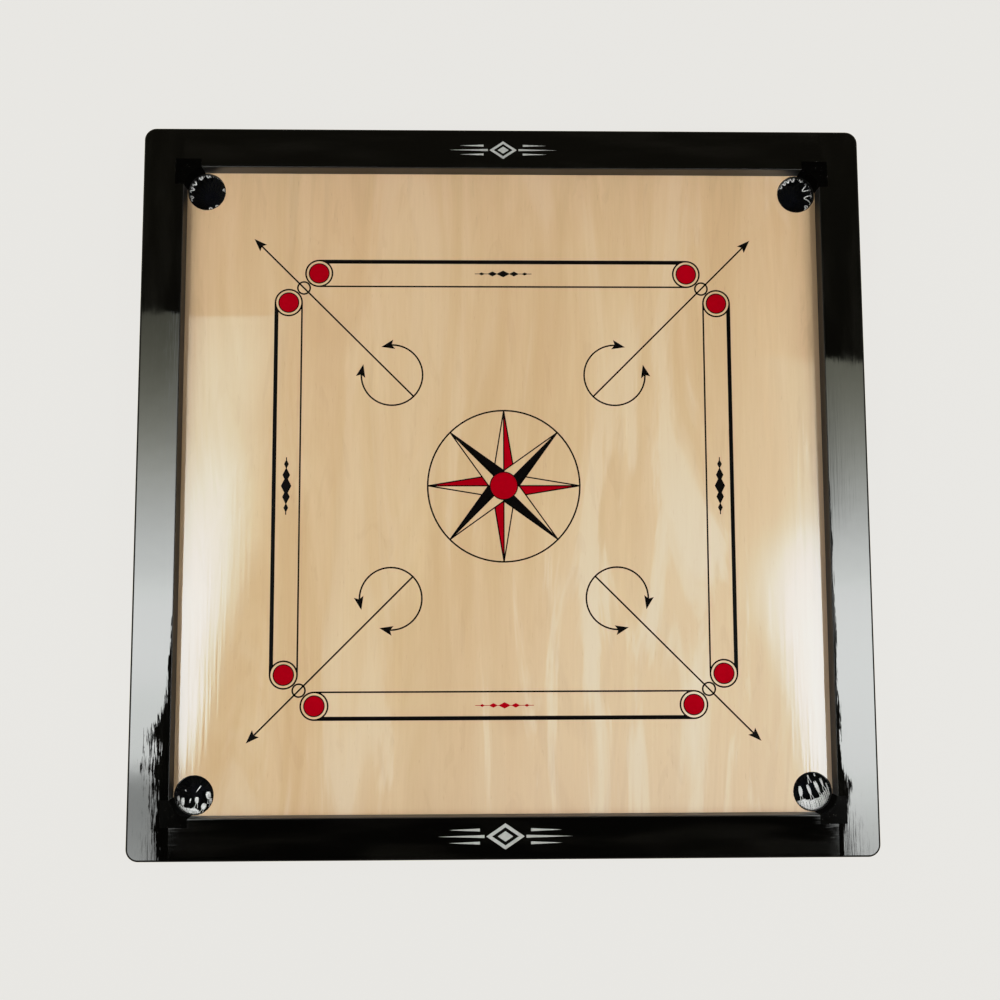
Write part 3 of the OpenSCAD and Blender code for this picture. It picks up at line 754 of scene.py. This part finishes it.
# The tufts beyond it: where each begins and ends, in millimetres from the pocket's centre, and its thickness
TUFTS = {
    "front_left": [((-14, -3.5), (-13.5, -11), 2.4), ((-11, 5.5), (-10, 4), 0.7),
                   ((6.5, 9.5), (1.5, 3), 0.7), ((2.5, -3), (2, -9), 2.3),
                   ((-4.5, -4), (-5.5, -8.5), 0.8), ((14.5, 3), (15.5, -4), 3.2),
                   ((11, -10), (9, -15.5), 3.2), ((17.5, -4), (17.5, -9), 1.5),
                   ((-18.5, -1.5), (-18, -6), 1.6)],
    "front_right": [((-13, 5), (-11.5, -5), 2.9), ((-4.5, 6.5), (-0.5, -4), 2.0),
                    ((3, 10), (9, -1.5), 2.2), ((10.5, 14), (13.5, 5.5), 1.1),
                    ((-3.8, 17.5), (-2.8, 14), 1.1), ((3.5, 19), (4.5, 16.5), 0.9)],
}
TUFT_Z = 19.5 * MM
TUFT_PITCH = 3.6 * MM
TUFT_ARCH = 0.8 * MM
# A fold's radius and its distance from the next, as shares of the tuft's thickness
FOLD_RADIUS = 0.55
FOLD_SPREAD = 0.45
# A leg: how long it is, and the radius and pitch of its yarn
LEG_L = 5.5 * MM
LEG_YARN = 0.45 * MM
LEG_PITCH = 2.2 * MM


def lashing(strands, centre):
    """White yarn that binds the bag's neck to the rope, under the rope and through the meshes."""
    turns = 2 * NET_COLUMNS
    for number in range(turns):
        angle = 2 * math.pi * number / turns
        path = [on_bag(centre, angle + step * LASHING_LEAN, z * MM, radius * MM)
                for step, (z, radius) in enumerate(LASHING)]
        strands.twisted(spline(path, 7), LASHING_YARN, LASHING_PITCH, sides=5)


def standing_loop(strands, centre, angle, width, reach, thick, chance):
    """A loop of white yarn that comes up the wall of the hole and leans into it."""
    half = width / 2 / LOOP_R
    sway = chance.uniform(-0.2, 0.2) * half
    shoulder = LOOP_Z - reach * 0.25

    def at(turn, z, inwards):
        return on_bag(centre, angle + turn, z, LOOP_R - inwards)

    def side(half_turn):
        return [at(half_turn, NECK_Z, 0), at(half_turn, shoulder, LOOP_LEAN),
                at(half_turn * 0.9 + sway, LOOP_Z, reach * 0.45)]

    top = at(sway, LOOP_Z - reach * 0.3, reach)
    path = spline(side(-half) + [top] + side(half)[::-1], 25)
    strands.twisted(path, thick, LOOP_PITCH, start=chance.uniform(0, 6))


def heading(strands, corner, centre, chance):
    """White yarns side by side from the rim of the hole to the heading's inner edge."""
    lean, edge = HEADINGS[corner]
    way = np.array([math.cos(math.radians(lean)), math.sin(math.radians(lean))])
    side = np.array([-way[1], way[0]])
    sides, outs = zip(*edge)

    def point(across, out, z):
        flat = centre + across * side + out * way
        return np.array([flat[0], flat[1], z])

    for across in np.arange(sides[0] * MM, sides[-1] * MM, HEADING_SPACING):
        rim = math.sqrt(max(LOOP_R ** 2 - across ** 2, 0.0))
        inner = float(np.interp(across / MM, sides, outs)) * MM + chance.uniform(-0.6, 0.6) * MM
        inner = min(inner, rim - HEADING_LEAST)
        bow = chance.uniform(-0.3, 0.3) * MM
        lift = chance.uniform(-0.5, 0.5) * MM
        fall = (rim - inner) * HEADING_FALL
        middle = point(across + bow, (rim + inner) / 2, HEADING_Z + lift)
        path = [point(across, rim, HEADING_Z), middle, point(across * 0.97, inner, HEADING_Z - fall)]
        strands.twisted(spline(path, 9), HEADING_YARN, HEADING_PITCH, start=chance.uniform(0, 6))


def tuft(strands, centre, start, end, thick, chance):
    """A fat end of white yarn in three folds, on two thin legs if it is over a millimetre thick."""
    start = centre + np.array(start) * MM
    end = centre + np.array(end) * MM
    length = np.linalg.norm(end - start)
    run = (end - start) / length
    across = np.array([-run[1], run[0]])

    def point(along, aside, z):
        flat = end + along * run + aside * across
        return np.array([flat[0], flat[1], z])

    for leg in (-1, 1) if thick > 1 else ():
        foot = [point(-1 * MM, leg * 0.3 * MM, TUFT_Z), point(LEG_L / 2, leg * 1.2 * MM, TUFT_Z + 0.5 * MM),
                point(LEG_L, leg * 1.6 * MM, TUFT_Z + 1.2 * MM)]
        strands.twisted(spline(foot, 9), LEG_YARN, LEG_PITCH, sides=5)
    count = 13
    swell = np.sqrt(np.sin(np.linspace(0.12, 0.94, count) * math.pi))
    for fold in (-1, 0, 1):
        spread = fold * thick * FOLD_SPREAD * MM
        bend = chance.uniform(-0.1, 0.1) * length
        middle = point(-length / 2, spread + bend / 2, TUFT_Z + TUFT_ARCH)
        path = [point(0.5 * MM, spread * 0.5, TUFT_Z), middle, point(-length, spread * 0.8 + bend, TUFT_Z)]
        radii = thick * FOLD_RADIUS * MM * swell
        strands.twisted(spline(path, count), radii, TUFT_PITCH, start=chance.uniform(0, 6))


def white_net_yarns(corner, chance, material):
    """A pocket's lashing, with its heading and tufts or its loops."""
    centre = pocket_centre(corner)
    outward = math.atan2(centre[1], centre[0])
    strands = Strands()
    lashing(strands, centre)
    if corner in HEADINGS:
        heading(strands, corner, centre, chance)
    for start, end, thick in TUFTS.get(corner, []):
        tuft(strands, centre, start, end, thick, chance)
    for turn, width, reach, thick in LOOPS.get(corner, []):
        angle = outward + math.radians(turn)
        standing_loop(strands, centre, angle, width * MM, reach * MM, thick * MM, chance)
    loops = strands.object("net_white_yarn_" + corner, material)
    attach(loops, "root")


def make_nets():
    dark = yarn("dark_yarn", YARN_DARK, YARN_DARK_HOLLOW_SHADE)
    white = yarn("white_yarn", YARN_WHITE, YARN_WHITE_HOLLOW_SHADE)
    for number, corner in enumerate(POCKETS):
        chance = random.Random(40 + number)
        net_bag(corner, chance, dark)
        rim_rope(corner, white)
        white_net_yarns(corner, chance, white)


# ---- Studio ----

LIGHT_Z = 1.5
# Each panel's outline, as (x, y)
LEFT_OUTLINE = [(-0.97, 0.57), (-0.40, 0.58), (-0.40, -0.95), (-0.97, -0.95)]
RIGHT_OUTLINE = [(1.02, 0.44), (1.02, -0.95), (0.50, -0.95), (0.50, 0.50)]
# Radiance of each panel down its length, as (y, radiance)
LEFT_GLOW = [(-0.95, 4.9), (-0.72, 6.6), (-0.665, 6.0), (-0.557, 5.2), (-0.502, 8.0), (-0.449, 13.9),
             (-0.35, 14.5), (-0.20, 16.1), (-0.02, 12.7), (0.15, 8.3), (0.376, 2.88), (0.50, 1.65),
             (0.60, 1.2)]
RIGHT_GLOW = [(-0.95, 8.6), (-0.70, 10.4), (-0.545, 14.2), (-0.45, 16.0), (-0.20, 16.8), (-0.02, 13.1),
              (0.12, 8.8), (0.376, 3.25), (0.50, 2.1)]
# How far out each panel's light begins, as (y, distance), and how far it takes to reach its full strength
LEFT_EDGE = [(-0.95, 0.735), (-0.605, 0.733), (-0.575, 0.700), (-0.48, 0.670), (-0.41, 0.650), (-0.35, 0.632),
             (-0.20, 0.585), (0.0, 0.530), (0.184, 0.500), (0.376, 0.470), (0.60, 0.430)]
RIGHT_EDGE = [(-0.95, 0.802), (-0.605, 0.802), (-0.575, 0.750), (-0.52, 0.730), (-0.45, 0.710), (-0.40, 0.700),
              (-0.25, 0.650), (-0.07, 0.580), (0.15, 0.675), (0.47, 0.630)]
LEFT_SOFTNESS = [(-0.95, 0.012), (-0.59, 0.015), (-0.56, 0.05), (-0.47, 0.06), (-0.42, 0.06), (-0.35, 0.07),
                 (-0.20, 0.13), (0.60, 0.16)]
RIGHT_SOFTNESS = [(-0.95, 0.012), (-0.59, 0.015), (-0.56, 0.05), (-0.40, 0.08), (-0.20, 0.16), (-0.07, 0.23),
                  (0.10, 0.20), (0.50, 0.20)]
# Where a panel's inner part gives way to its outer part, as distances out from the centre
OUTER_PART = (0.700, 0.735)
# A side fill: its length and height; how far out it stands, its Y and its height; and its tilt in degrees
FILL_SIZE = (1.6, 0.7)
FILL_PLACE = (1.25, -0.05, 0.95)
FILL_TILT = 50
LEFT_FILL = 6.0
RIGHT_FILL = 8.5
FLOOR_HALF = 12.0
# The floor is painted dark inside this distance, as the shade under the board, and glows by itself outside it
COVERED = 0.39
FLOOR_GLOW = 0.93
HORIZON_SHADE = 0.965
SENSOR_WIDTH = 36.0
FOCAL_LENGTH = 43.2
CAMERA_PLACE = (-0.0338, -0.1534, 1.3898)
CAMERA_TURN = (0.1002, -0.0212, -0.0031)
# The film's response: how bright each amount of light is shown, up to the brightest
BRIGHTEST = 4.0
BRIGHTEST_SHOWN = 0.97
RESPONSE = ((0.60, 0.60), (0.775, 0.72), (1.0, 0.80), (1.2, 0.855), (1.5, 0.89), (2.0, 0.92))


def stage_sheet(name, points):
    """A flat piece of studio equipment with its own material, which is still empty."""
    mesh = bpy.data.meshes.new(name)
    mesh.from_pydata(points, [], [tuple(range(len(points)))])
    sheet = bpy.data.objects.new(name, mesh)
    bpy.context.scene.collection.objects.link(sheet)
    material = bpy.data.materials.new(name)
    mesh.materials.append(material)
    return sheet, Nodes(material)


def light_panel(name, outline, glow, edge, softness):
    """A flat glowing panel above the board, sharp at its back and soft along its inner side."""
    panel, n = stage_sheet(name, [(x, y, LIGHT_Z) for x, y in outline])
    panel.visible_camera = False
    x, y, _ = n.parts(n.place())
    inset = n.math("SUBTRACT", n.math("ABSOLUTE", x), n.curve(y, edge))
    lit = n.ramp(n.math("DIVIDE", inset, n.curve(y, softness)), 0.0, 1.0)
    # The outer part is yellower towards the back, and the inner part brighter
    outer = n.ramp(n.math("ABSOLUTE", x), *OUTER_PART)
    yellow = n.math("MULTIPLY", n.ramp(y, 0.0, 0.55), outer)
    brighter = n.math("MULTIPLY", n.ramp(y, 0.28, 0.52, 0.0, 0.9), n.math("SUBTRACT", 1.0, outer))
    strength = n.math("MULTIPLY", n.curve(y, glow), n.math("ADD", 1.0, brighter))
    lamp = n.node("Emission")
    n.feed(lamp.inputs["Color"], n.mix(yellow, LIGHT_TINT, LIGHT_TINT_BACK))
    n.feed(lamp.inputs["Strength"], n.math("MULTIPLY", lit, strength))
    n.feed(n.node("OutputMaterial").inputs["Surface"], lamp.outputs[0])


def side_fill(side, energy):
    """A soft light low down at one side, so that each wall shades the panel beside it."""
    fill = bpy.data.lights.new("fill", "AREA")
    fill.shape = "RECTANGLE"
    fill.size, fill.size_y = FILL_SIZE
    fill.energy = energy
    lamp = bpy.data.objects.new("fill", fill)
    out, along, height = FILL_PLACE
    lamp.location = (out * side, along, height)
    lamp.rotation_euler = Euler((math.radians(FILL_TILT), 0, math.radians(90 * side)), "XYZ")
    lamp.visible_glossy = False
    lamp.visible_camera = False
    bpy.context.scene.collection.objects.link(lamp)


def studio_lights():
    light_panel("light_left", LEFT_OUTLINE, LEFT_GLOW, LEFT_EDGE, LEFT_SOFTNESS)
    light_panel("light_right", RIGHT_OUTLINE, RIGHT_GLOW, RIGHT_EDGE, RIGHT_SOFTNESS)
    side_fill(-1, LEFT_FILL)
    side_fill(1, RIGHT_FILL)


def surroundings():
    """Pale near the horizon, dark overhead, a little lighter towards the back."""
    world = bpy.data.worlds.new("studio")
    bpy.context.scene.world = world
    n = Nodes(world)
    _, back, up = n.parts(n.node("TexCoord").outputs["Generated"])
    overhead = n.mix(n.ramp(back, 0.0, 0.5), OVERHEAD_DARK, OVERHEAD_BACK)
    colour = n.mix(n.ramp(up, 0.12, 0.6), shaded(FLOOR_PALE, HORIZON_SHADE), overhead)
    glow = n.node("Background")
    n.feed(glow.inputs["Color"], colour)
    n.feed(n.node("OutputWorld").inputs["Surface"], glow.outputs[0])


def floor():
    """A plain pale floor, painted dark as shade where the board covers it, and clear from below."""
    corners = [(-1, -1), (1, -1), (1, 1), (-1, 1)]
    plane, n = stage_sheet("floor", [(x * FLOOR_HALF, y * FLOOR_HALF, FLOOR_Z) for x, y in corners])
    open_floor = n.math("GREATER_THAN", n.furthest(), COVERED)
    glow = n.node("Emission")
    n.feed(glow.inputs["Color"], FLOOR_PALE)
    n.feed(glow.inputs["Strength"], n.math("MULTIPLY", open_floor, FLOOR_GLOW))
    matt = n.node("BsdfDiffuse")
    # Painted shade: under the board the floor's colour is a much darker copy of its pale one
    n.feed(matt.inputs["Color"], n.mix(open_floor, shaded(FLOOR_PALE, 0.02), shaded(FLOOR_PALE, 0.08)))
    both = n.node("AddShader")
    n.feed(both.inputs[0], glow.outputs[0])
    n.feed(both.inputs[1], matt.outputs[0])
    pick = n.node("MixShader")
    n.feed(pick.inputs[0], n.node("NewGeometry").outputs["Backfacing"])
    n.feed(pick.inputs[1], both.outputs[0])
    n.feed(pick.inputs[2], n.node("BsdfTransparent").outputs[0])
    n.feed(n.node("OutputMaterial").inputs["Surface"], pick.outputs[0])


def camera():
    """A camera almost straight above the board, leaning back a little."""
    lens = bpy.data.cameras.new("camera")
    lens.sensor_width = SENSOR_WIDTH
    lens.lens = FOCAL_LENGTH
    eye = bpy.data.objects.new("camera", lens)
    eye.location = CAMERA_PLACE
    eye.rotation_euler = Euler(CAMERA_TURN, "XYZ")
    bpy.context.scene.collection.objects.link(eye)
    bpy.context.scene.camera = eye


def film_response():
    """Rolls the highlights off, as a camera does, and leaves everything below them as it is."""
    view = bpy.context.scene.view_settings
    view.view_transform = "Standard"
    view.use_curve_mapping = True
    curves = view.curve_mapping
    curves.white_level = (BRIGHTEST,) * 3
    combined = curves.curves[3]
    combined.points[0].location = (0.0, 0.0)
    combined.points[1].location = (1.0, BRIGHTEST_SHOWN)
    for light, shown in RESPONSE:
        combined.points.new(light / BRIGHTEST, shown)
    for point in combined.points:
        point.handle_type = "VECTOR"
    curves.update()


def build():
    film_response()
    dress_cad()
    make_nets()
    floor()
    surroundings()
    studio_lights()
    camera()


build()
